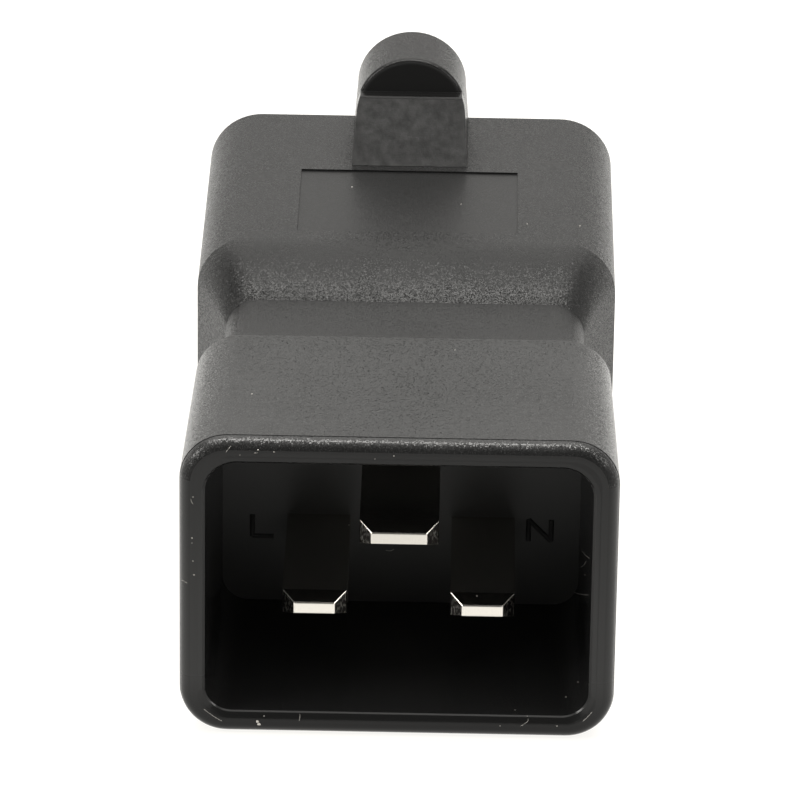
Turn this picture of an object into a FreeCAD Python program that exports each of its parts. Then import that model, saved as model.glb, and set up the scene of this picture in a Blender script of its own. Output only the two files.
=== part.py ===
import FreeCAD, Part
import math
import os

# A power plug adapter, in millimetres: a three-pin appliance inlet at the front feeds a three-hole
# receptacle at the back. It lies flat on Z = 0, the inlet opens towards -Y, the receptacle towards +Y,
# and X = 0 is the middle plane.

Vector = FreeCAD.Vector

# Two places closer than this are the same
same_place = 1e-6

# Lengths from front to back
shroud_length = 20.2
waist_length = 7.25
block_length = 33.2

# Inlet shroud: a drafted cup with a boss behind it that holds the pins
mouth_width = 29.6
mouth_height = 21.3
mouth_upper_corner = 2.5
mouth_lower_corner = 2.1
mouth_bevel = 0.2
shroud_wall = 1.95
shroud_back_wall = 1.7
shroud_corner = 3.7
shroud_taper = 0.4
rim_round = 1.0
rim_land = 0.05
rim_step = 0.04
shroud_rear_bevel = 0.15
cavity_side_draft = 0.65
cavity_floor_draft = 0.4
boss_margin = 3.0
boss_length = 3.5
boss_corner = 2.0

# Inlet pins: flat blades with bevelled tips
pin_pitch = 13.0
pin_above_floor = 7.05
earth_rise = 7.0
pin_thickness = 2.0
pin_width = 5.0
earth_pin_width = 6.1
pin_setback = 4.05
earth_setback = 2.25
tip_length = 1.2
tip_side_bevel = 0.93
tip_face_bevel = 0.53

# Receptacle face: two blade slots, one of them a tee, above a round ground hole
blade_pitch = 12.7
ground_drop = 11.9
slot_width = 2.2
line_slot_height = 7.4
neutral_slot_height = 9.0
tee_reach = 12.85
ground_hole_radius = 2.65
lead_in = 0.5
face_thickness = 3.0
face_edge_bevel = 0.3

# Contact carrier behind the face
carrier_wall = 1.0
carrier_end_wall = 2.0
carrier_corner = 2.0
chamber_depth = 17.2
chamber_clearance = 0.5

# Spring contacts: sheet bent into jaws that pinch a blade
contact_thickness = 0.7
contact_bend = 0.4
contact_room = 0.3
blade_jaw_gap = 4.0
stem_jaw_gap = 2.6
ground_jaw_gap = 5.2
blade_throat = 0.9
ground_throat = 4.0
blade_jaw_flare = 1.1
ground_jaw_flare = 0.5
jaw_straight = 3.0
throat_setback = 2.6
jaw_setback = 0.7
tee_gap = 3.0

# Links and rivets between the pins and the contacts
link_thickness = 0.8
link_width = 4.0
link_bend = 0.6
link_end = 2.3
tail_gap = 1.5
rivet_radius = 1.0
rivet_head_radius = 1.5
rivet_head = 0.7
rivet_fit = 0.05

# Moulded body: waist, shoulder and block round the carrier, with a guard on top
block_floor = 2.45
block_roof = 2.3
block_overhang = 0.1
block_corner = 4.4
rear_bevel = 0.4
waist_top_inset = 2.3
waist_side_inset = 2.6
waist_floor_inset = 2.0
waist_corner = 2.6
shoulder_slope_deg = 36.5
shoulder_sections = 4
guard_radius = 4.52
guard_rise = 3.14
guard_flare = 0.25
guard_thickness = 6.6
guard_ledge = 1.15
guard_ramp_run = 3.4
guard_ramp_rise = 4.8
guard_round = 0.4
guard_ledge_round = 0.3
guard_root = 2.0
label_width = 17.8
label_length = 12.55
label_from_rear = 12.0
label_depth = 0.14

# Places along Y
length = shroud_length + waist_length + block_length
mouth_y = -length / 2
rim_band = rim_round + rim_land
back_wall_y = mouth_y + shroud_length - shroud_back_wall
shroud_rear_y = mouth_y + shroud_length
crease_y = shroud_rear_y + waist_length
shoulder_run = waist_top_inset / math.tan(math.radians(shoulder_slope_deg) / 2)
block_y = crease_y + shoulder_run
rear_y = length / 2
face_y = rear_y - face_thickness
chamber_y = face_y - chamber_depth
carrier_y = chamber_y - carrier_end_wall
tail_y = carrier_y - link_thickness - tail_gap
pin_rivet_y = tail_y - link_end

# Places along X and Z
shroud_width = mouth_width + 2 * shroud_wall
shroud_height = mouth_height + 2 * shroud_wall
pin_z = shroud_wall + pin_above_floor
earth_z = pin_z + earth_rise
ground_half_height = ground_hole_radius + chamber_clearance
ground_z = block_floor + carrier_wall + ground_half_height
blade_z = ground_z + ground_drop
blade_x = blade_pitch / 2
carrier_half_width = tee_reach + chamber_clearance + carrier_wall
carrier_top = blade_z + neutral_slot_height / 2 + chamber_clearance + carrier_wall
block_half_width = shroud_width / 2 + block_overhang
block_height = carrier_top + block_roof
guard_z = block_height + guard_rise
guard_top = guard_z + guard_radius


def outline(y, half_width, low, high, low_corner, high_corner):
    """A rounded rectangle across the part at one Y, as a wire."""
    def point(x, z):
        return Vector(x, y, z)

    def corner(x, z, radius, from_deg):
        turns = [math.radians(from_deg + turn) for turn in (0, 45, 90)]
        return Part.Arc(*[point(x + radius * math.cos(t), z + radius * math.sin(t)) for t in turns]).toShape()

    low_x = half_width - low_corner
    high_x = half_width - high_corner
    low_z = low + low_corner
    high_z = high - high_corner
    edges = [
        Part.makeLine(point(-low_x, low), point(low_x, low)),
        corner(low_x, low_z, low_corner, 270),
        Part.makeLine(point(half_width, low_z), point(half_width, high_z)),
        corner(high_x, high_z, high_corner, 0),
        Part.makeLine(point(high_x, high), point(-high_x, high)),
        corner(-high_x, high_z, high_corner, 90),
        Part.makeLine(point(-half_width, high_z), point(-half_width, low_z)),
        corner(-low_x, low_z, low_corner, 180),
    ]
    return Part.Wire(edges)


def along_y(wire, distance):
    """A prism from a wire across the part."""
    return Part.Face(wire).extrude(Vector(0, distance, 0))


def box(low, high):
    """A box from its low corner to its high corner."""
    size = [high[axis] - low[axis] for axis in range(3)]
    return Part.makeBox(*size, Vector(*low))


def span(x, z, width, height):
    """Left, right, low and high of a rectangle across the part, centred on X and Z."""
    return x - width / 2, x + width / 2, z - height / 2, z + height / 2


def drafted_box(front_y, front, rear_y, rear):
    """A box between two upright rectangles, each given by its left, right, low and high."""
    left, right, low, high = front
    rear_left, rear_right, rear_low, rear_high = rear
    return Part.makeWedge(left, front_y, low, rear_low, rear_left, right, rear_y, high, rear_high, rear_right)


def edges_at_y(shape, y):
    """The edges that lie wholly at one Y."""
    def flat(edge):
        return abs(edge.BoundBox.YMin - y) < same_place and abs(edge.BoundBox.YMax - y) < same_place
    return [edge for edge in shape.Edges if flat(edge)]


def rounded_lengthways(shape, radius, low, high):
    """A piece with its front-to-back edges rounded, where they lie between two heights."""
    def lengthways(edge):
        height = edge.BoundBox.Center.z
        return edge.BoundBox.YLength > same_place and low - same_place < height < high + same_place
    return shape.makeFillet(radius, [edge for edge in shape.Edges if lengthways(edge)])


def rounded_path(points, radii):
    """Edges along points in one plane, each corner rounded by its own radius."""
    edges = []
    start = points[0]
    for before, corner, after, radius in zip(points, points[1:], points[2:], radii):
        inward = (corner - before).normalize()
        outward = (after - corner).normalize()
        half_turn = inward.getAngle(outward) / 2
        trim = radius * math.tan(half_turn)
        first = corner - inward * trim
        last = corner + outward * trim
        middle = corner + (outward - inward).normalize() * radius * (1 / math.cos(half_turn) - 1)
        edges += [Part.makeLine(start, first), Part.Arc(first, middle, last).toShape()]
        start = last
    return edges + [Part.makeLine(start, points[-1])]


def bent_strip(route, thickness, bend, place, sweep):
    """Sheet bent along a route on one of its faces, with the metal to the left, swept sideways."""
    runs = []
    for (u0, v0), (u1, v1) in zip(route, route[1:]):
        run = math.hypot(u1 - u0, v1 - v0)
        runs.append(((u1 - u0) / run, (v1 - v0) / run))
    inner, outer, far = [], [], []
    for index, (u, v) in enumerate(route):
        du, dv = runs[max(index - 1, 0)]
        eu, ev = runs[min(index, len(runs) - 1)]
        share = thickness / (1 + du * eu + dv * ev)
        far.append((u - (dv + ev) * share, v + (du + eu) * share))
        if 0 < index < len(route) - 1:
            turns_left = du * ev - dv * eu > 0
            inner.append(bend + thickness if turns_left else bend)
            outer.append(bend if turns_left else bend + thickness)
    near_points = [place(u, v) for u, v in route]
    far_points = [place(u, v) for u, v in far]
    edges = rounded_path(near_points, inner)
    edges.append(Part.makeLine(near_points[-1], far_points[-1]))
    edges += rounded_path(far_points[::-1], outer[::-1])
    edges.append(Part.makeLine(far_points[0], near_points[0]))
    return Part.Face(Part.Wire(edges)).extrude(sweep)


# Inlet shroud
def make_inlet_shroud(pins):
    half, mouth_half = shroud_width / 2, mouth_width / 2
    rear_half, back_half = half - shroud_taper, mouth_half - cavity_side_draft
    cup = drafted_box(mouth_y + rim_band, (-half, half, 0, shroud_height),
                      shroud_rear_y, (-rear_half, rear_half, 0, shroud_height - shroud_taper))
    cup = rounded_lengthways(cup, shroud_corner, 0, shroud_height)
    cup = cup.makeChamfer(shroud_rear_bevel, edges_at_y(cup, shroud_rear_y))
    cup = cup.fuse(make_rim())
    floor, roof = shroud_wall, shroud_wall + mouth_height
    middle = (floor + roof) / 2
    back_floor, back_roof = floor + cavity_floor_draft, roof - cavity_floor_draft
    cavity = drafted_box(mouth_y, (-mouth_half, mouth_half, floor, roof),
                         back_wall_y, (-back_half, back_half, back_floor, back_roof))
    cavity = rounded_lengthways(cavity, mouth_lower_corner, floor, middle)
    cavity = rounded_lengthways(cavity, mouth_upper_corner, middle, roof)
    cup = cup.cut(cavity)
    mouth_edges = [edge for edge in edges_at_y(cup, mouth_y) if is_mouth_edge(edge)]
    cup = cup.makeChamfer(mouth_bevel, mouth_edges).fuse(make_pin_boss())
    for pin in pins:
        cup = cup.cut(pin)
    return cup.removeSplitter()


def make_rim():
    """A straight band at the mouth, set in by the step that the mould's parting line leaves."""
    band = along_y(outline(mouth_y, shroud_width / 2 - rim_step, rim_step, shroud_height - rim_step,
                           shroud_corner - rim_step, shroud_corner - rim_step), rim_band)
    return band.makeFillet(rim_round, edges_at_y(band, mouth_y))


def is_mouth_edge(edge):
    """Tells the rim's inner edge from its outer one."""
    middle = edge.valueAt((edge.FirstParameter + edge.LastParameter) / 2)
    centre_z = shroud_wall + mouth_height / 2
    slack = rim_round / 4
    return abs(middle.x) < mouth_width / 2 + slack and abs(middle.z - centre_z) < mouth_height / 2 + slack


def make_pin_boss():
    half_width = (pin_pitch + pin_width) / 2 + boss_margin
    low = pin_z - pin_thickness / 2 - boss_margin
    high = earth_z + pin_thickness / 2 + boss_margin
    return along_y(outline(shroud_rear_y, half_width, low, high, boss_corner, boss_corner), boss_length)


# Inlet pins
def make_pin(x, z, width, setback):
    tip_y = mouth_y + setback
    full_y = tip_y + tip_length
    tip = span(x, z, width - 2 * tip_side_bevel, pin_thickness - 2 * tip_face_bevel)
    full = span(x, z, width, pin_thickness)
    bevel = drafted_box(tip_y, tip, full_y, full)
    return bevel.fuse(drafted_box(full_y, full, tail_y, full)).removeSplitter()


# Links: straps from each pin's tail to the wall behind its contact
def make_side_link(x):
    seat_z = pin_z + pin_thickness / 2
    route = [(pin_rivet_y - link_end, seat_z), (carrier_y, seat_z), (carrier_y, blade_z + link_end)]
    return make_link(x, route)


def make_earth_link():
    seat_z = earth_z - pin_thickness / 2
    route = [(carrier_y, ground_z - link_end), (carrier_y, seat_z), (pin_rivet_y - link_end, seat_z)]
    return make_link(0, route)


def make_link(x, route):
    def place(y, z):
        return Vector(x - link_width / 2, y, z)
    return bent_strip(route, link_thickness, link_bend, place, Vector(link_width, 0, 0))


# Contacts: jaws on a web that seats against the carrier's end wall
def jaw_route(gap, throat, flare):
    """Inner faces of a pair of jaws, from one lip round the web to the other, about their middle line."""
    lip_y = face_y - jaw_setback
    web_y = chamber_y + contact_thickness
    half, pinch = gap / 2, throat / 2
    lip = (pinch + flare, lip_y)
    side = [lip, (pinch, lip_y - throat_setback), (half, web_y + jaw_straight), (half, web_y)]
    return side + [(-u, v) for u, v in side[::-1]]


def make_upright_jaws(route, x, z, height):
    def place(u, v):
        return Vector(x + u, v, z - height / 2)
    return bent_strip(route, contact_thickness, contact_bend, place, Vector(0, 0, height))


def make_line_contact():
    route = jaw_route(blade_jaw_gap, blade_throat, blade_jaw_flare)
    return make_upright_jaws(route, -blade_x, blade_z, line_slot_height - chamber_clearance)


def make_ground_contact():
    route = jaw_route(ground_jaw_gap, ground_throat, ground_jaw_flare)
    return make_upright_jaws(route, 0, ground_z, 2 * ground_hole_radius)


def make_neutral_contact():
    """Upright jaws with the outer one parted at the tee, and level jaws behind the tee's stem."""
    route = jaw_route(blade_jaw_gap, blade_throat, blade_jaw_flare)
    jaws = make_upright_jaws(route, blade_x, blade_z, neutral_slot_height - chamber_clearance)
    outer_face = blade_x + blade_jaw_gap / 2 + contact_thickness
    web_y = chamber_y + contact_thickness
    jaws = jaws.cut(box((blade_x, web_y, blade_z - tee_gap / 2), (outer_face, face_y, blade_z + tee_gap / 2)))
    stem_x = outer_face + contact_room

    def place(u, v):
        return Vector(stem_x, v, blade_z + u)
    stem_route = jaw_route(stem_jaw_gap, blade_throat, blade_jaw_flare)
    stem = bent_strip(stem_route, contact_thickness, contact_bend, place, Vector(tee_reach - stem_x, 0, 0))
    half_gap = stem_jaw_gap / 2
    bridge = box((blade_x, chamber_y, blade_z - half_gap), (tee_reach, web_y, blade_z + half_gap))
    return jaws.fuse([stem, bridge]).removeSplitter()


# Contact carrier and receptacle face
def carrier_outline(y):
    return outline(y, carrier_half_width, block_floor, carrier_top, carrier_corner, carrier_corner)


def make_chamber(x, z, width, height):
    room = span(x, z, width, height)
    return drafted_box(chamber_y, room, face_y, room)


def make_contact_carrier():
    blade_room = blade_jaw_gap + 2 * (contact_thickness + contact_room)
    stem_room = stem_jaw_gap + 2 * (contact_thickness + contact_room)
    ground_room = ground_jaw_gap + 2 * (contact_thickness + contact_room)
    stem_end = tee_reach + chamber_clearance
    chambers = [
        make_chamber(-blade_x, blade_z, blade_room, line_slot_height + 2 * chamber_clearance),
        make_chamber(blade_x, blade_z, blade_room, neutral_slot_height + 2 * chamber_clearance),
        make_chamber((blade_x + stem_end) / 2, blade_z, stem_end - blade_x, stem_room),
        make_chamber(0, ground_z, ground_room, 2 * ground_half_height),
    ]
    carrier = along_y(carrier_outline(carrier_y), face_y - carrier_y)
    return carrier.cut(chambers)


def make_slot(x, z, width, height):
    """A slot through the face with a sloped lead-in at its mouth."""
    throat = span(x, z, width, height)
    mouth = span(x, z, width + 2 * lead_in, height + 2 * lead_in)
    slot = drafted_box(face_y, throat, rear_y, throat)
    return slot.fuse(drafted_box(rear_y - lead_in, throat, rear_y, mouth))


def make_receptacle_face():
    plate = along_y(carrier_outline(face_y), face_thickness)
    plate = plate.makeChamfer(face_edge_bevel, edges_at_y(plate, rear_y))
    hole = Part.makeCylinder(ground_hole_radius, face_thickness, Vector(0, face_y, ground_z), Vector(0, 1, 0))
    hole_mouth = Part.makeCone(ground_hole_radius, ground_hole_radius + lead_in, lead_in,
                               Vector(0, rear_y - lead_in, ground_z), Vector(0, 1, 0))
    slots = [
        make_slot(-blade_x, blade_z, slot_width, line_slot_height),
        make_slot(blade_x, blade_z, slot_width, neutral_slot_height),
        make_slot((blade_x + tee_reach) / 2, blade_z, tee_reach - blade_x, slot_width),
        hole.fuse(hole_mouth),
    ]
    return plate.cut(slots)


# Rivets, each given by its first head's seat, its axis and its grip
def pin_rivet_seats():
    grip = pin_thickness + link_thickness
    under_pin = pin_z - pin_thickness / 2
    under_earth_link = earth_z - pin_thickness / 2 - link_thickness
    spots = [(-blade_x, under_pin), (blade_x, under_pin), (0, under_earth_link)]
    return [(Vector(x, pin_rivet_y, z), Vector(0, 0, 1), grip) for x, z in spots]


def contact_rivet_seats():
    grip = link_thickness + carrier_end_wall + contact_thickness
    spots = [(-blade_x, blade_z), (blade_x, blade_z), (0, ground_z)]
    return [(Vector(x, carrier_y - link_thickness, z), Vector(0, 1, 0), grip) for x, z in spots]


def make_rivet(seat, axis, grip):
    shank = Part.makeCylinder(rivet_radius, grip, seat, axis)
    heads = [
        Part.makeCylinder(rivet_head_radius, rivet_head, seat - axis * rivet_head, axis),
        Part.makeCylinder(rivet_head_radius, rivet_head, seat + axis * grip, axis),
    ]
    return shank.fuse(heads).removeSplitter()


def drilled(shape, seats):
    """A piece with a hole round each rivet shank that passes through it."""
    radius = rivet_radius + rivet_fit
    return shape.cut([Part.makeCylinder(radius, grip, seat, axis) for seat, axis, grip in seats])


# Moulded body
def make_shoulder():
    """From the waist's outline to the block's: rounded over on top, straight at the sides and below."""
    slope = math.radians(shoulder_slope_deg)
    wires = []
    for index in range(shoulder_sections):
        angle = slope * (1 - index / (shoulder_sections - 1))
        top_share = (1 - math.cos(angle)) / (1 - math.cos(slope))
        side_share = math.sin(angle) / math.sin(slope)
        y = block_y - shoulder_run * side_share
        wires.append(body_outline(y, top_share, side_share))
    return Part.makeLoft(wires, True, False)


def body_outline(y, top_share, side_share):
    """The block's outline drawn in by shares of the waist's insets."""
    corner = block_corner + (waist_corner - block_corner) * side_share
    return outline(y, block_half_width - waist_side_inset * side_share, waist_floor_inset * side_share,
                   block_height - waist_top_inset * top_share, corner, corner)


def make_guard():
    """An arched tab over the receptacle, with a ledge and a ramp, so a plug goes in one way up only."""
    base_z = block_height - guard_root
    base_half = guard_radius + guard_flare
    front_y = rear_y - guard_thickness
    ledge_y = front_y - guard_ledge
    ledge_z = block_height + guard_ramp_rise
    ramp_y = ledge_y - guard_ramp_run
    sides = Part.makePolygon([Vector(x, ramp_y, z) for x, z in (
        (-guard_radius, guard_z), (-base_half, block_height), (-base_half, base_z),
        (base_half, base_z), (base_half, block_height), (guard_radius, guard_z))])
    crown = Part.Arc(Vector(guard_radius, ramp_y, guard_z), Vector(0, ramp_y, guard_top),
                     Vector(-guard_radius, ramp_y, guard_z)).toShape()
    arch = along_y(Part.Wire(sides.Edges + [crown]), rear_y - ramp_y)
    profile = Part.makePolygon([Vector(-base_half, y, z) for y, z in (
        (ramp_y, base_z), (ramp_y, block_height), (ledge_y, ledge_z), (front_y, ledge_z),
        (front_y, guard_top), (rear_y, guard_top), (rear_y, base_z), (ramp_y, base_z))])
    guard = arch.common(Part.Face(profile).extrude(Vector(2 * base_half, 0, 0)))
    guard = guard.makeFillet(guard_round, arcs(edges_at_y(guard, front_y)))
    guard = guard.makeChamfer(rear_bevel, arcs(edges_at_y(guard, rear_y)))
    return guard.makeFillet(guard_ledge_round, edges_at_y(guard, ledge_y))


def arcs(edges):
    """The round edges among some."""
    return [edge for edge in edges if isinstance(edge.Curve, Part.Circle)]


def make_label_field():
    """A bare field sunk a little into the block's top, for a label."""
    rear = rear_y - label_from_rear
    half = label_width / 2
    return box((-half, rear - label_length, block_height - label_depth), (half, rear, block_height))


def make_rear_body(inserts):
    waist = along_y(body_outline(shroud_rear_y, 1, 1), waist_length)
    block = along_y(body_outline(block_y, 0, 0), rear_y - block_y)
    block = block.makeChamfer(rear_bevel, edges_at_y(block, rear_y))
    body = block.fuse([make_shoulder(), waist, make_guard()]).removeSplitter()
    body = body.cut(make_label_field())
    body = body.cut(along_y(carrier_outline(carrier_y), rear_y - carrier_y))
    for insert in inserts:
        body = body.cut(insert)
    return body


# The pieces together
pins = {
    "line_pin": make_pin(-pin_pitch / 2, pin_z, pin_width, pin_setback),
    "neutral_pin": make_pin(pin_pitch / 2, pin_z, pin_width, pin_setback),
    "earth_pin": make_pin(0, earth_z, earth_pin_width, earth_setback),
}
links = {
    "line_link": make_side_link(-blade_x),
    "neutral_link": make_side_link(blade_x),
    "earth_link": make_earth_link(),
}
contacts = {
    "line_contact": make_line_contact(),
    "neutral_contact": make_neutral_contact(),
    "ground_contact": make_ground_contact(),
}
pin_seats = pin_rivet_seats()
contact_seats = contact_rivet_seats()
pin_rivets = [make_rivet(*seat) for seat in pin_seats]
contact_rivets = [make_rivet(*seat) for seat in contact_seats]
inserts = [make_pin_boss(), *pins.values(), *links.values(), *pin_rivets, *contact_rivets]

pieces = {
    "inlet_shroud": make_inlet_shroud(pins.values()),
    "rear_body": make_rear_body(inserts),
    "contact_carrier": drilled(make_contact_carrier(), contact_seats),
    "receptacle_face": make_receptacle_face(),
    "pin_rivets": Part.makeCompound(pin_rivets),
    "contact_rivets": Part.makeCompound(contact_rivets),
}
for name, pin in pins.items():
    pieces[name] = drilled(pin, pin_seats)
for name, link in links.items():
    pieces[name] = drilled(link, pin_seats + contact_seats)
for name, contact in contacts.items():
    pieces[name] = drilled(contact, contact_seats)

os.makedirs("parts", exist_ok=True)
for name, piece in pieces.items():
    piece.exportStep(f"parts/{name}.step")
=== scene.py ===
import math
import bpy
from mathutils import Matrix, Vector


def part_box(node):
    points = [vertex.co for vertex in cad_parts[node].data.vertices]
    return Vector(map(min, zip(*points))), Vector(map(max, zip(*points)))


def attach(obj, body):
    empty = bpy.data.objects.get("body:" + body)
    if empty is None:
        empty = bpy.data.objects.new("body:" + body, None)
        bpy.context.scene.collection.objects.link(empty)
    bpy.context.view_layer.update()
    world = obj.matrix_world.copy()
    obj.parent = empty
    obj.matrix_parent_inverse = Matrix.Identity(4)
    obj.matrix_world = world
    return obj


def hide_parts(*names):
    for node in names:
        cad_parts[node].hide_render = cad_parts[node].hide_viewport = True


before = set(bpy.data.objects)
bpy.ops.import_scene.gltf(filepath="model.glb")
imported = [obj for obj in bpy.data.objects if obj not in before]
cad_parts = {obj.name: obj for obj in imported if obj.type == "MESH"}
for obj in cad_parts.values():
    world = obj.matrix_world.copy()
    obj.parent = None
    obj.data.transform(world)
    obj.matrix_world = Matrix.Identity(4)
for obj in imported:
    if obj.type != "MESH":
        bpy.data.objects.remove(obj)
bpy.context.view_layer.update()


# The camera stands in front of the inlet and above it, with a long lens, as for a catalogue picture.
# It comes first, because the dust further down is placed by where the picture shows it.
mm = 0.001
shroud_low, shroud_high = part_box("inlet_shroud")
mouth_y = shroud_low.y
image_px = 800
lens_px = 6430.5
sensor_mm = 36.0
distance = 484.76 * mm
target = Vector((-0.05 * mm, mouth_y, 28.82 * mm))
azimuth, elevation, roll = (math.radians(angle) for angle in (0.56, 25.2, 0.81))
level = Vector((math.cos(azimuth), math.sin(azimuth), 0))
back = Vector((math.sin(azimuth), -math.cos(azimuth), 0)) * math.cos(elevation)
back.z = math.sin(elevation)
upright = back.cross(level)
picture_right = level * math.cos(roll) + upright * math.sin(roll)
picture_up = upright * math.cos(roll) - level * math.sin(roll)
eye = target + back * distance
bpy.ops.object.select_all(action="DESELECT")
bpy.ops.object.camera_add()
camera = bpy.context.object
camera.data.sensor_width = sensor_mm
camera.data.lens = sensor_mm * lens_px / image_px
turn = Matrix((picture_right, picture_up, back)).transposed().to_4x4()
camera.matrix_world = Matrix.Translation(eye) @ turn
bpy.context.scene.camera = camera
bpy.context.scene.view_settings.view_transform = "Standard"


# The inlet shroud is a cup moulded in black nylon. Its outside has the fine grain of a spark-eroded
# mould. The front of its rim and the cavity are smoother, and the mouth's lower edge is rolled over.
shroud_wall = 1.95 * mm
cavity_depth = 18.5 * mm
rim_band = 1.05 * mm
rim_reach = 0.9 * rim_band
rim_top_height = 3.5 * mm
mouth_half_width = 14.8 * mm
mouth_corner = 2.1 * mm
mouth_bevel = 0.2 * mm
roll_width = 0.95 * mm
roll_drop = 0.28 * mm
roll_bend = 1.5
roll_onset = 0.8 * mouth_corner
roll_rings, ring_step = 4, 0.085 * mm
bevel_sink = 0.17 * mm
bevel_narrowing = 0.115 * mm
skin = 0.02 * mm
outward_limit = 1 * mm
touching = 0.001 * mm
flat_angle = math.radians(0.5)
smooth_angle = math.radians(30)
cloud_size = 6 * mm
cloud_shade, cloud_roughness = 0.15, 0.02


def add_node(tree, kind, inputs=None, **settings):
    """A shader node with its settings, its values and the sockets that feed it."""
    node = tree.nodes.new(kind)
    for name, value in settings.items():
        setattr(node, name, value)
    for name, value in (inputs or {}).items():
        if isinstance(value, bpy.types.NodeSocket):
            tree.links.new(value, node.inputs[name])
        else:
            node.inputs[name].default_value = value
    return node


def new_material(name):
    """A node material, with its tree, its shader and its object coordinates."""
    material = bpy.data.materials.new(name)
    material.use_nodes = True
    tree = material.node_tree
    shader = tree.nodes["Principled BSDF"]
    place = add_node(tree, "ShaderNodeTexCoord").outputs["Object"]
    return material, tree, shader, place


def noise(tree, place, size, detail, stretch=(1, 1, 1)):
    """Soft noise with features of about one size, drawn out along the axes by stretch."""
    scale = [1 / (size * share) for share in stretch]
    scaled = add_node(tree, "ShaderNodeMapping", {"Vector": place, "Scale": scale}).outputs["Vector"]
    texture = add_node(tree, "ShaderNodeTexNoise", {"Vector": scaled, "Scale": 1.0, "Detail": detail})
    return texture.outputs["Fac"]


def spread(tree, value, low, high, from_low=0.3, from_high=0.7, course="LINEAR"):
    """A value taken from its own two ends, those of a noise if none are given, to a low and a high."""
    ends = {"Value": value, "From Min": from_low, "From Max": from_high, "To Min": low, "To Max": high}
    return add_node(tree, "ShaderNodeMapRange", ends, interpolation_type=course).outputs["Result"]


def combine(tree, operation, first, second=0.0):
    """A sum, product or comparison of two values."""
    node = add_node(tree, "ShaderNodeMath", operation=operation)
    for socket, value in zip(node.inputs, (first, second)):
        if isinstance(value, bpy.types.NodeSocket):
            tree.links.new(value, socket)
        else:
            socket.default_value = value
    return node.outputs["Value"]


def within(tree, value, low, high):
    """One between two ends, and nought outside them."""
    above = combine(tree, "GREATER_THAN", value, low)
    return combine(tree, "MULTIPLY", above, combine(tree, "LESS_THAN", value, high))


def all_of(tree, *masks):
    """Where every mask is one."""
    result = masks[0]
    for mask in masks[1:]:
        result = combine(tree, "MULTIPLY", result, mask)
    return result


def grey(tree, value):
    """A neutral colour from a value."""
    channels = dict.fromkeys(("Red", "Green", "Blue"), value)
    return add_node(tree, "ShaderNodeCombineColor", channels).outputs["Color"]


def spark_grain(tree, place, size, share):
    """Height of a spark-eroded mould's grain: flat facets, a share of them tilted at random."""
    cells = add_node(tree, "ShaderNodeTexVoronoi", {"Vector": place, "Scale": 1 / size}).outputs
    arm = add_node(tree, "ShaderNodeVectorMath", operation="SUBTRACT")
    tree.links.new(place, arm.inputs[0])
    tree.links.new(cells["Position"], arm.inputs[1])
    lean = add_node(tree, "ShaderNodeVectorMath", operation="SUBTRACT")
    tree.links.new(cells["Color"], lean.inputs[0])
    lean.inputs[1].default_value = (0.5, 0.5, 0.5)
    tilt = add_node(tree, "ShaderNodeVectorMath", operation="DOT_PRODUCT")
    tree.links.new(arm.outputs["Vector"], tilt.inputs[0])
    tree.links.new(lean.outputs["Vector"], tilt.inputs[1])
    pick = add_node(tree, "ShaderNodeTexWhiteNoise", {"Vector": cells["Position"]}).outputs["Value"]
    return combine(tree, "MULTIPLY", tilt.outputs["Value"], combine(tree, "LESS_THAN", pick, share))


def grained_plastic(name, shade, roughness, ior, grain_size, grain_tilt, grain_share=0.4):
    """Black moulded plastic: its grain, and a little cloudiness in its shade and its gloss."""
    material, tree, shader, place = new_material(name)
    cloud = noise(tree, place, size=cloud_size, detail=3)
    finish = {
        "tree": tree,
        "shader": shader,
        "place": place,
        "axes": add_node(tree, "ShaderNodeSeparateXYZ", {"Vector": place}).outputs,
        "shade": spread(tree, cloud, shade * (1 - cloud_shade), shade * (1 + cloud_shade)),
        "roughness": spread(tree, cloud, roughness - cloud_roughness, roughness + cloud_roughness),
    }
    shader.inputs["IOR"].default_value = ior
    grain = spark_grain(tree, place, grain_size, grain_share)
    finish["grain"] = add_node(tree, "ShaderNodeBump", {"Height": grain, "Distance": grain_tilt})
    tree.links.new(finish["grain"].outputs["Normal"], shader.inputs["Normal"])
    tree.links.new(grey(tree, finish["shade"]), shader.inputs["Base Color"])
    tree.links.new(finish["roughness"], shader.inputs["Roughness"])
    return material, finish


def smoother_where(finish, mask, grain_left, roughness, shade):
    """A smoother patch in a grained plastic, with a gloss and a shade of its own."""
    tree, shader = finish["tree"], finish["shader"]
    strength = finish["grain"].inputs["Strength"]
    before = strength.links[0].from_socket if strength.links else 1.0
    left = spread(tree, mask, 1.0, grain_left, from_low=0.0, from_high=1.0)
    tree.links.new(combine(tree, "MULTIPLY", left, before), strength)
    for key, value in (("roughness", roughness), ("shade", shade)):
        mix = add_node(tree, "ShaderNodeMix", {"Factor": mask, "A": finish[key], "B": value})
        finish[key] = mix.outputs["Result"]
    tree.links.new(finish["roughness"], shader.inputs["Roughness"])
    tree.links.new(grey(tree, finish["shade"]), shader.inputs["Base Color"])


def facing_axes(tree):
    """The three parts of the direction in which a face looks."""
    normal = add_node(tree, "ShaderNodeNewGeometry").outputs["True Normal"]
    return add_node(tree, "ShaderNodeSeparateXYZ", {"Vector": normal}).outputs


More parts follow.
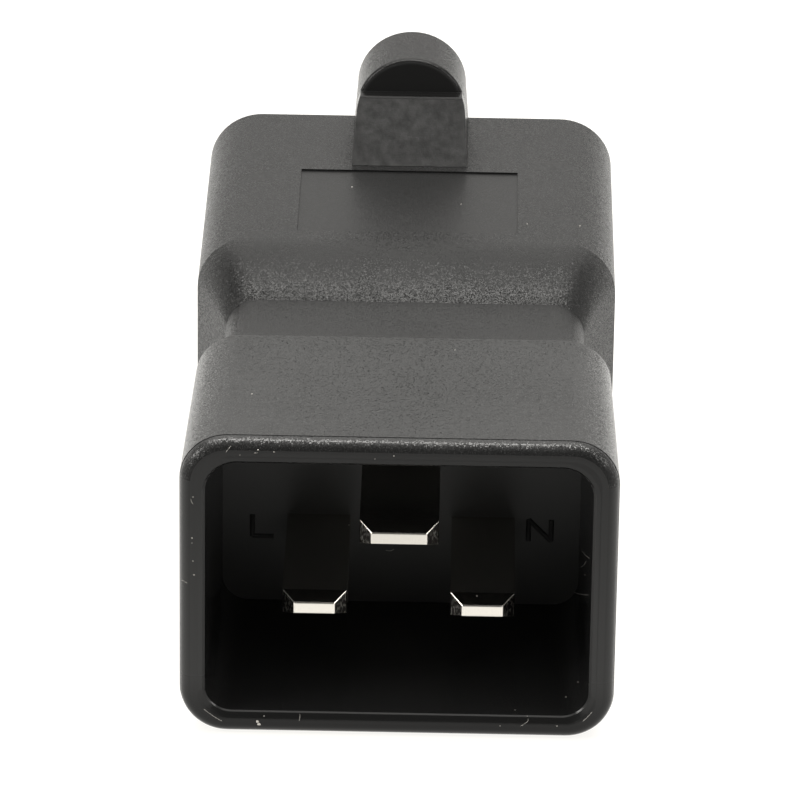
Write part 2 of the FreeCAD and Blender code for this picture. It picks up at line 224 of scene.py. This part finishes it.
shroud_plastic, finish = grained_plastic(
    "shroud_plastic", shade=0.009, roughness=0.20, ior=1.34, grain_size=0.085 * mm, grain_tilt=0.48,
    grain_share=0.6)
tree, axes = finish["tree"], finish["axes"]
rim_flat = combine(tree, "LESS_THAN", axes["Y"], mouth_y + skin)
rim_sides = all_of(tree, combine(tree, "LESS_THAN", axes["Y"], mouth_y + rim_band),
                   combine(tree, "LESS_THAN", axes["Z"], shroud_high.z - rim_top_height))
# The rim is painted darker towards its foot, a painted shade where the part meets the floor.
shade_towards_foot = spread(tree, axes["Z"], 1.0, 0.0, shroud_wall / 2, shroud_wall * 3, "SMOOTHSTEP")
rim_foot_painted_shade = all_of(tree, rim_sides, shade_towards_foot)
# The rim's sides and its front flat are painted lighter than the rest of the shroud: a painted
# reflection of the bright floor in front.
smoother_where(finish, rim_sides, grain_left=0.3, roughness=0.28, shade=0.017)
smoother_where(finish, rim_flat, grain_left=0.25, roughness=0.28, shade=0.022)
smoother_where(finish, rim_foot_painted_shade, grain_left=0.3, roughness=0.2, shade=0.005)
wall_middle = shroud_wall / 2
facing = facing_axes(tree)
from_middle = combine(tree, "SUBTRACT", axes["Z"], (shroud_low.z + shroud_high.z) / 2)
outward = combine(tree, "ADD", combine(tree, "MULTIPLY", facing["X"], axes["X"]),
                  combine(tree, "MULTIPLY", facing["Z"], from_middle))
cavity = all_of(
    tree, combine(tree, "LESS_THAN", outward, outward_limit),
    combine(tree, "GREATER_THAN", axes["Y"], mouth_y + mouth_bevel + bevel_sink),
    within(tree, axes["X"], shroud_low.x + wall_middle, shroud_high.x - wall_middle),
    within(tree, axes["Z"], shroud_low.z + wall_middle, shroud_high.z - wall_middle))
smoother_where(finish, cavity, grain_left=0.1, roughness=0.16, shade=0.009)
back_wall_y = mouth_y + cavity_depth
# The cavity's back wall is painted lighter than the rest of the cavity: painted light for the stray
# light that lifts it.
back_wall_painted_light = all_of(tree, cavity, combine(tree, "GREATER_THAN", axes["Y"], back_wall_y - skin))
smoother_where(finish, back_wall_painted_light, grain_left=1.0, roughness=0.36, shade=0.030)


def work_on(piece):
    """Makes a piece the only one selected, and the active one."""
    bpy.ops.object.select_all(action="DESELECT")
    piece.select_set(True)
    bpy.context.view_layer.objects.active = piece


def merged_copy(node, name):
    """A copy of a solid's mesh as a piece of its own, its loose triangles joined into flat faces."""
    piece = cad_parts[node].copy()
    piece.data = piece.data.copy()
    piece.name = piece.data.name = name
    piece.parent = None
    for key in list(piece.keys()):
        del piece[key]
    bpy.context.scene.collection.objects.link(piece)
    work_on(piece)
    bpy.ops.mesh.customdata_custom_splitnormals_clear()
    bpy.ops.object.mode_set(mode="EDIT")
    bpy.ops.mesh.select_all(action="SELECT")
    bpy.ops.mesh.remove_doubles(threshold=touching)
    bpy.ops.mesh.dissolve_limited(angle_limit=flat_angle)
    bpy.ops.mesh.select_all(action="DESELECT")
    bpy.ops.object.mode_set(mode="OBJECT")
    return piece


# The flat front of the rim is divided into rings, and below the mouth these sink back towards it
shroud = merged_copy("inlet_shroud", "inlet_shroud_rolled")
for face in shroud.data.polygons:
    face.select = face.center.y < mouth_y + touching
bpy.ops.object.mode_set(mode="EDIT")
bpy.ops.mesh.select_mode(type="FACE")
for _ in range(roll_rings):
    bpy.ops.mesh.inset(thickness=ring_step, use_boundary=True, use_even_offset=True)
bpy.ops.object.mode_set(mode="OBJECT")
behind_rim = shroud.vertex_groups.new(name="behind_rim")
for point in shroud.data.vertices:
    x, y, z = point.co
    beside = max(abs(x) - mouth_half_width + mouth_corner, 0)
    below = max(shroud_wall + mouth_corner - z, 0)
    outwards = math.hypot(beside, below) - mouth_corner
    roll_share = min(below / roll_onset, 1)
    on_flat = y < mouth_y + touching and outwards < roll_width
    on_bevel = y < mouth_y + mouth_bevel + skin and outwards < mouth_bevel / 2
    if y > mouth_y + rim_reach:
        behind_rim.add([point.index], 1.0, "REPLACE")
    elif on_flat:
        if 0 < outwards < mouth_bevel + skin:
            inwards = roll_share * bevel_narrowing / (outwards + mouth_corner)
            point.co.x -= math.copysign(beside * inwards, x)
            point.co.z += below * inwards
            outwards -= roll_share * bevel_narrowing
        point.co.y += roll_share * roll_drop * (1 - max(outwards, 0) / roll_width) ** roll_bend
    elif on_bevel:
        point.co.y += roll_share * bevel_sink
bpy.ops.object.shade_smooth_by_angle(angle=smooth_angle)

# Large flat faces set the shading where they meet the rounds, except at the rim
bpy.ops.object.modifier_add(type="WEIGHTED_NORMAL")
shading = shroud.modifiers[0]
shading.keep_sharp = True
shading.vertex_group = behind_rim.name
bpy.ops.object.modifier_apply(modifier=shading.name)
shroud.material_slots[0].material = shroud_plastic
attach(shroud, "root")
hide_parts("inlet_shroud")


# The pins are flat brass bars, nickel plated. Their end faces are clean, the press that trimmed their
# corners left those torn and dull, and every edge of the tip has a thin break, bright except on top.
# The torn corners are painted darker still and the upper breaks dark: painted shade of the dark cavity.
pin_break = 0.09 * mm
break_segments = 3
tear_depth = 0.07 * mm
clean_plate = (0.70, 0.675, 0.625, 1)
torn_and_shaded_plate = (0.07, 0.065, 0.06, 1)
torn_roughness = 0.3
break_shade = 0.6
corner_facing_x, corner_facing_y = (0.7, 0.9), (-0.7, -0.5)
break_facing_x, break_facing_y, break_facing_z = (-0.1, 0.1), (-0.95, -0.2), (0.3, 0.97)
pin_material, tree, shader, place = new_material("plated_pin")
shader.inputs["Metallic"].default_value = 1.0
facing = facing_axes(tree)
sideways = combine(tree, "ABSOLUTE", facing["X"])
corner = all_of(
    tree, within(tree, sideways, *corner_facing_x), within(tree, facing["Y"], *corner_facing_y))
top_break = all_of(
    tree, within(tree, facing["Z"], *break_facing_z), within(tree, facing["Y"], *break_facing_y),
    within(tree, facing["X"], *break_facing_x))
streaks = noise(tree, place, size=0.12 * mm, detail=3, stretch=(1, 1, 4))
tears = noise(tree, place, size=0.16 * mm, detail=4, stretch=(1, 1, 2))
blotches = spread(tree, tears, 1.0, 0.2, from_low=0.5, from_high=0.62)
blotched = combine(tree, "MULTIPLY", corner, blotches)
# The upper breaks take the dark plate as painted shade, and the torn corners take it partly so.
dulled_and_shaded = combine(tree, "MAXIMUM", blotched, combine(tree, "MULTIPLY", top_break, break_shade))
plate = add_node(
    tree, "ShaderNodeMix", {"Factor": dulled_and_shaded, "A": clean_plate, "B": torn_and_shaded_plate}, data_type="RGBA")
tree.links.new(plate.outputs["Result"], shader.inputs["Base Color"])
clean_roughness = spread(tree, streaks, 0.16, 0.26)
rough = add_node(tree, "ShaderNodeMix", {"Factor": corner, "A": clean_roughness, "B": torn_roughness})
tree.links.new(rough.outputs["Result"], shader.inputs["Roughness"])
torn = add_node(tree, "ShaderNodeBump", {"Height": tears, "Distance": tear_depth, "Strength": corner})
tree.links.new(torn.outputs["Normal"], shader.inputs["Normal"])
for node in ("line_pin", "neutral_pin", "earth_pin"):
    pin = merged_copy(node, node + "_plated")
    points = pin.data.vertices
    for edge in pin.data.edges:
        edge.select = all(points[v].co.y < back_wall_y for v in edge.vertices)
    bpy.ops.object.mode_set(mode="EDIT")
    bpy.ops.mesh.select_mode(type="EDGE")
    bpy.ops.mesh.bevel(offset=pin_break, segments=break_segments, affect="EDGES")
    bpy.ops.object.mode_set(mode="OBJECT")
    bpy.ops.object.shade_flat()
    pin.material_slots[0].material = pin_material
    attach(pin, "root")
    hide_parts(node)


# The plain letters L and N stand as low round ridges beside the two lower pins on the cavity's back
# wall. They were cut into the core that formed the cavity, and mark line and neutral.
stroke_radius = 0.2 * mm
stroke_relief = 0.12 * mm
letter_low, letter_high = 7.98 * mm, 9.85 * mm
line_left, line_right = -11.8 * mm, -10.1 * mm
neutral_left, neutral_right = 10.1 * mm, 11.9 * mm
stroke_angle = math.radians(40)
letter_plastic, _ = grained_plastic(
    "letter_plastic", shade=0.014, roughness=0.6, ior=1.33, grain_size=0.085 * mm, grain_tilt=0.2)
letter_strokes = {
    "line_letter": (((line_left, letter_high), (line_left, letter_low)),
                    ((line_left, letter_low), (line_right, letter_low))),
    "neutral_letter": (((neutral_left, letter_low), (neutral_left, letter_high)),
                       ((neutral_left, letter_high), (neutral_right, letter_low)),
                       ((neutral_right, letter_low), (neutral_right, letter_high))),
}
for name, strokes in letter_strokes.items():
    bpy.ops.object.select_all(action="DESELECT")
    bpy.ops.curve.primitive_nurbs_path_add()
    letter = bpy.context.object
    letter.name = letter.data.name = name
    letter.data.splines.remove(letter.data.splines[0])
    for ends in strokes:
        line = letter.data.splines.new("POLY")
        line.points.add(1)
        for knot, (x, z) in zip(line.points, ends):
            knot.co = (x, 0, z, 1)
    letter.data.bevel_depth = stroke_radius
    letter.data.bevel_resolution = 4
    letter.data.use_fill_caps = True
    bpy.ops.object.convert(target="MESH")
    letter.data.transform(Matrix.Diagonal((1, stroke_relief / stroke_radius, 1, 1)))
    letter.data.transform(Matrix.Translation((0, back_wall_y, 0)))
    bpy.ops.object.shade_smooth_by_angle(angle=stroke_angle)
    letter.data.materials.append(letter_plastic)
    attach(letter, "root")


# Links, rivets and spring contacts carry the current inside. They are stamped from rolled brass and
# bronze strip, so they are bare, with fine rolling lines and a little tarnish.
line_roughness = 0.06


def rolled_strip(name, colour, tarnish, roughness):
    """Bare strip, its tarnish in clouds and its gloss in lines."""
    material, tree, shader, place = new_material(name)
    shader.inputs["Metallic"].default_value = 1.0
    cloud = spread(tree, noise(tree, place, size=2.5 * mm, detail=4), 0.0, 1.0)
    lines = noise(tree, place, size=0.15 * mm, detail=2, stretch=(1, 1, 12))
    ends = {"Factor": cloud, "A": (*colour, 1), "B": (*tarnish, 1)}
    tone = add_node(tree, "ShaderNodeMix", ends, data_type="RGBA")
    tree.links.new(tone.outputs["Result"], shader.inputs["Base Color"])
    gloss = spread(tree, lines, roughness - line_roughness, roughness + line_roughness)
    tree.links.new(gloss, shader.inputs["Roughness"])
    return material


contact_bronze = rolled_strip(
    "contact_bronze", colour=(0.72, 0.50, 0.30), tarnish=(0.55, 0.36, 0.20), roughness=0.32)
link_brass = rolled_strip(
    "link_brass", colour=(0.82, 0.66, 0.34), tarnish=(0.66, 0.50, 0.24), roughness=0.34)
rivet_brass = rolled_strip(
    "rivet_brass", colour=(0.80, 0.64, 0.34), tarnish=(0.62, 0.47, 0.22), roughness=0.30)
for material, nodes in (
    (contact_bronze, ("line_contact", "neutral_contact", "ground_contact")),
    (link_brass, ("line_link", "neutral_link", "earth_link")),
    (rivet_brass, ("pin_rivets", "contact_rivets")),
):
    for node in nodes:
        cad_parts[node].material_slots[0].material = material


# The contact carrier and the receptacle's face are moulded apart from the body, in a harder plastic
# with a smooth satin surface, and lie in the body's rear pocket.
carrier_plastic, _ = grained_plastic(
    "carrier_plastic", shade=0.014, roughness=0.45, ior=1.42, grain_size=0.15 * mm, grain_tilt=0.1)
face_plastic, _ = grained_plastic(
    "face_plastic", shade=0.012, roughness=0.30, ior=1.42, grain_size=0.12 * mm, grain_tilt=0.2)
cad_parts["contact_carrier"].material_slots[0].material = carrier_plastic
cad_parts["receptacle_face"].material_slots[0].material = face_plastic


# The body is moulded over the carrier, the links and the shroud's boss in one shot of soft black
# plastic. Its grain is denser than the shroud's. The sunk field for a label and the guard are smoother.
# The guard's ramp is painted paler in random mottles, a painted highlight, and the front face of its
# arch and the waist behind the shroud are painted lighter as painted light.
body_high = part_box("rear_body")[1]
label_half_width = 8.9 * mm
label_rear_y = body_high.y - 12.0 * mm
label_front_y = label_rear_y - 12.55 * mm
label_low, label_high = 26.5 * mm, 26.73 * mm
waist_rear_y = -2.9 * mm
waist_low = 24.0 * mm
guard_foot = 26.85 * mm
ledge_rear_y = body_high.y - 6.6 * mm
ledge_front_y = ledge_rear_y - 0.99 * mm
arch_reach = 0.05 * mm
ramp_rear_y = ledge_front_y - 0.26 * mm
ramp_front_y = label_rear_y
body_plastic, finish = grained_plastic(
    "body_plastic", shade=0.007, roughness=0.28, ior=1.24, grain_size=0.085 * mm, grain_tilt=0.48,
    grain_share=0.8)
tree, axes = finish["tree"], finish["axes"]
label = all_of(
    tree, within(tree, axes["X"], -label_half_width, label_half_width),
    within(tree, axes["Y"], label_front_y, label_rear_y),
    within(tree, axes["Z"], label_low, label_high))
waist_painted_light = all_of(tree, combine(tree, "LESS_THAN", axes["Y"], waist_rear_y),
               combine(tree, "GREATER_THAN", axes["Z"], waist_low))
guard = combine(tree, "GREATER_THAN", axes["Z"], guard_foot)
ledge = all_of(tree, guard, within(tree, axes["Y"], ledge_front_y, ledge_rear_y))
arch_painted_light = all_of(
    tree, guard, within(tree, axes["Y"], ledge_rear_y - arch_reach, ledge_rear_y + arch_reach))
ledge_edge = all_of(tree, guard, within(tree, axes["Y"], ramp_rear_y, ledge_front_y))
ramp_face = all_of(tree, guard, within(tree, axes["Y"], ramp_front_y, ramp_rear_y))
# The ramp is painted paler in random mottles: a painted highlight for the light its slope catches.
ramp_painted_highlight = spread(tree, noise(tree, finish["place"], size=0.7 * mm, detail=4), 0.014, 0.030)
smoother_where(finish, label, grain_left=0.35, roughness=0.30, shade=0.006)
# The waist is painted lighter: painted light where the shoulder behind it shades it.
smoother_where(finish, waist_painted_light, grain_left=0.8, roughness=0.28, shade=0.011)
smoother_where(finish, guard, grain_left=0.5, roughness=0.24, shade=0.004)
smoother_where(finish, ledge, grain_left=0.3, roughness=0.15, shade=0.005)
# The arch's front face is painted lighter: painted light on a face that stands in shade.
smoother_where(finish, arch_painted_light, grain_left=0.3, roughness=0.3, shade=0.014)
smoother_where(finish, ledge_edge, grain_left=1.0, roughness=0.6, shade=0.008)
smoother_where(finish, ramp_face, grain_left=0.8, roughness=0.40, shade=ramp_painted_highlight)
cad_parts["rear_body"].material_slots[0].material = body_plastic


# A little dust and a few short fibres lie on the part, as on anything that comes out of its bag.
# Each lies on the surface, where the picture shows it.
flakes_px = (
    (240, 455), (255, 453), (258, 450), (257, 453), (274, 452), (252, 394), (375, 459), (394, 456),
    (352, 187), (461, 204), (527, 224), (580, 226), (455, 350), (193, 497), (192, 538), (192, 543),
    (193, 561), (194, 575), (586, 556), (589, 558), (585, 575), (585, 555), (349, 525), (477, 596),
    (500, 726), (557, 726), (566, 697), (515, 710), (264, 716), (578, 682),
)
large_flakes_px = ((257.5, 721.5), (259, 724))
fibres_px = (
    ((226, 452), (229, 448), (231, 446)), ((182, 580), (184, 581), (187, 583)),
    ((582, 551), (585, 555), (589, 558)), ((581, 567), (585, 565), (586, 561)),
    ((574, 592), (580, 595), (588, 595)), ((386, 550), (390, 552), (394, 549)),
    ((191, 499), (191, 502), (193, 504)), ((527, 716), (529, 720), (526, 723), (521, 726)),
    ((300, 714), (300, 718), (299, 721)), ((583, 721), (588, 717), (592, 712)),
    ((204, 709), (212, 716), (222, 721)),
)
flake_radius = 0.038 * mm
large_flake_radius = 0.12 * mm
flake_sizes = (0.8, 1.0, 1.2)
flake_stretch = (1.2, 0.8, 0.5)
flake_raggedness = 0.5
fibre_radius = 0.010 * mm
pale_dust, dark_dust = (0.66, 0.64, 0.60, 1), (0.36, 0.34, 0.31, 1)
dust_material, tree, shader, place = new_material("dust")
specks = spread(tree, noise(tree, place, size=0.05 * mm, detail=2), 0.0, 1.0)
dust_tone = add_node(
    tree, "ShaderNodeMix", {"Factor": specks, "A": pale_dust, "B": dark_dust}, data_type="RGBA")
tree.links.new(dust_tone.outputs["Result"], shader.inputs["Base Color"])
shader.inputs["Roughness"].default_value = 0.9
bpy.context.view_layer.update()
depsgraph = bpy.context.evaluated_depsgraph_get()


def seen_at(pixel):
    """The point of the part that a pixel of the picture shows, and the way its surface faces."""
    across, down = ((value - image_px / 2) / lens_px for value in pixel)
    ray = picture_right * across - picture_up * down - back
    _, point, facing, *_ = bpy.context.scene.ray_cast(depsgraph, eye, ray.normalized())
    return point, facing


def joined(pieces, name):
    """Some meshes as one piece, which rides on the part."""
    bpy.ops.object.select_all(action="DESELECT")
    for piece in pieces:
        piece.select_set(True)
    bpy.context.view_layer.objects.active = pieces[0]
    bpy.ops.object.join()
    bpy.ops.object.transform_apply(location=True, rotation=True, scale=True)
    piece = bpy.context.object
    piece.name = piece.data.name = name
    piece.data.materials.append(dust_material)
    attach(piece, "root")


flakes, fibres = [], []
spots = [(flake_radius, *seen_at(pixel)) for pixel in flakes_px]
spots += [(large_flake_radius, *seen_at(pixel)) for pixel in large_flakes_px]
paths = [[seen_at(pixel) for pixel in path] for path in fibres_px]
for index, (radius, point, facing) in enumerate(spots):
    bpy.ops.object.select_all(action="DESELECT")
    bpy.ops.mesh.primitive_ico_sphere_add(
        subdivisions=2, radius=radius * flake_sizes[index % len(flake_sizes)], location=point,
        rotation=facing.to_track_quat("Z", "Y").to_euler(), scale=flake_stretch)
    bpy.ops.object.mode_set(mode="EDIT")
    bpy.ops.transform.vertex_random(offset=radius * flake_raggedness, seed=index)
    bpy.ops.object.mode_set(mode="OBJECT")
    flakes.append(bpy.context.object)
for path in paths:
    bpy.ops.object.select_all(action="DESELECT")
    bpy.ops.curve.primitive_nurbs_path_add()
    fibre = bpy.context.object
    spline = fibre.data.splines.new("NURBS")
    fibre.data.splines.remove(fibre.data.splines[0])
    spline.points.add(len(path) - 1)
    for knot, (point, facing) in zip(spline.points, path):
        knot.co = (*(point + facing * fibre_radius), 1)
    spline.order_u = 3
    spline.use_endpoint_u = True
    fibre.data.bevel_depth = fibre_radius
    fibre.data.use_fill_caps = True
    bpy.ops.object.convert(target="MESH")
    fibres.append(fibre)
joined(flakes, "dust_flakes")
joined(fibres, "lint_fibres")


# The floor is the plain pale top of a light table, much larger than the view. A round field of it,
# under the part and behind it, is lit from below, so that shadows there stay weak.
floor_half = 3.0
floor_tone = (0.14, 0.14, 0.139, 1)
light_tint = (1.0, 0.985, 0.95)
floor_glow = 0.9
lit_middle_y = 500 * mm
lit_radius, lit_fade = 540 * mm, 60 * mm
bpy.ops.object.select_all(action="DESELECT")
bpy.ops.mesh.primitive_plane_add(size=2 * floor_half)
floor = bpy.context.object
floor.name = "floor"
floor_material, tree, shader, place = new_material("pale_floor")
shader.inputs["Base Color"].default_value = floor_tone
shader.inputs["Emission Color"].default_value = (*light_tint, 1)
lit_middle = add_node(tree, "ShaderNodeCombineXYZ", {"Y": lit_middle_y}).outputs["Vector"]
away = add_node(tree, "ShaderNodeVectorMath", operation="DISTANCE")
tree.links.new(place, away.inputs[0])
tree.links.new(lit_middle, away.inputs[1])
glow = spread(
    tree, away.outputs["Value"], floor_glow, 0.0, lit_radius, lit_radius + lit_fade, "SMOOTHSTEP")
tree.links.new(glow, shader.inputs["Emission Strength"])
shader.inputs["Roughness"].default_value = 0.9
shader.inputs["Specular IOR Level"].default_value = 0.0
floor.data.materials.append(floor_material)


# The light comes from a soft box overhead and a smaller one at each side, in a pale room that is
# brightest behind the part and dim in front of it.
def soft_box(name, place, width, depth, radiance):
    """A rectangular lamp that looks at the part."""
    bpy.ops.object.select_all(action="DESELECT")
    bpy.ops.object.light_add(type="AREA", location=place)
    lamp = bpy.context.object
    lamp.name = name
    lamp.data.shape = "RECTANGLE"
    lamp.data.size, lamp.data.size_y = width, depth
    lamp.data.energy = radiance * math.pi * width * depth
    lamp.data.color = light_tint
    lamp.rotation_euler = (-Vector(place)).to_track_quat("-Z", "Y").to_euler()
    lamp.visible_camera = False


soft_box("overhead_box", place=(0, 0.03, 0.60), width=0.85, depth=0.10, radiance=25.0)
soft_box("left_box", place=(-0.60, -0.18, 0.34), width=0.28, depth=0.28, radiance=13.0)
soft_box("right_box", place=(0.60, -0.18, 0.34), width=0.28, depth=0.28, radiance=7.0)

# Radiance of the room by the angle from the rear horizon, over the top, to the front one
room_light = (
    (0, 1.15), (25, 1.27), (41, 2.6), (61, 3.45), (80, 3.55), (100, 3.0), (112, 1.4), (125, 0.9),
    (138, 0.4), (150, 0.2), (180, 0.2),
)
brightest = 4.0
side_share = 0.3
side_light = 1.4
side_light_above = 0.2
world = bpy.data.worlds.new("studio")
bpy.context.scene.world = world
world.use_nodes = True
tree = world.node_tree
background = tree.nodes["Background"]
ray = add_node(tree, "ShaderNodeSeparateXYZ", {
    "Vector": add_node(tree, "ShaderNodeTexCoord").outputs["Generated"]}).outputs
half_turns = combine(tree, "DIVIDE", combine(tree, "ARCTAN2", ray["Z"], ray["Y"]), math.pi)
ramp = add_node(tree, "ShaderNodeValToRGB", {"Fac": half_turns})
stops = ramp.color_ramp.elements
for angle, radiance in room_light:
    ends = {0: stops[0], 180: stops[-1]}
    stop = ends.get(angle) or stops.new(angle / 180)
    stop.color = (*[radiance / brightest] * 3, 1)
aside = combine(tree, "ABSOLUTE", ray["X"])
falling = spread(tree, aside, brightest, side_share, from_low=0.4, from_high=0.75)
overhead = combine(tree, "MULTIPLY", ramp.outputs["Color"], falling)
low_walls = combine(
    tree, "MULTIPLY", spread(tree, aside, 0.0, side_light, from_low=0.5, from_high=0.7),
    spread(tree, ray["Z"], 1.0, side_light_above, from_low=0.2, from_high=0.5))
tree.links.new(combine(tree, "MAXIMUM", overhead, low_walls), background.inputs["Strength"])
background.inputs["Color"].default_value = (*light_tint, 1)
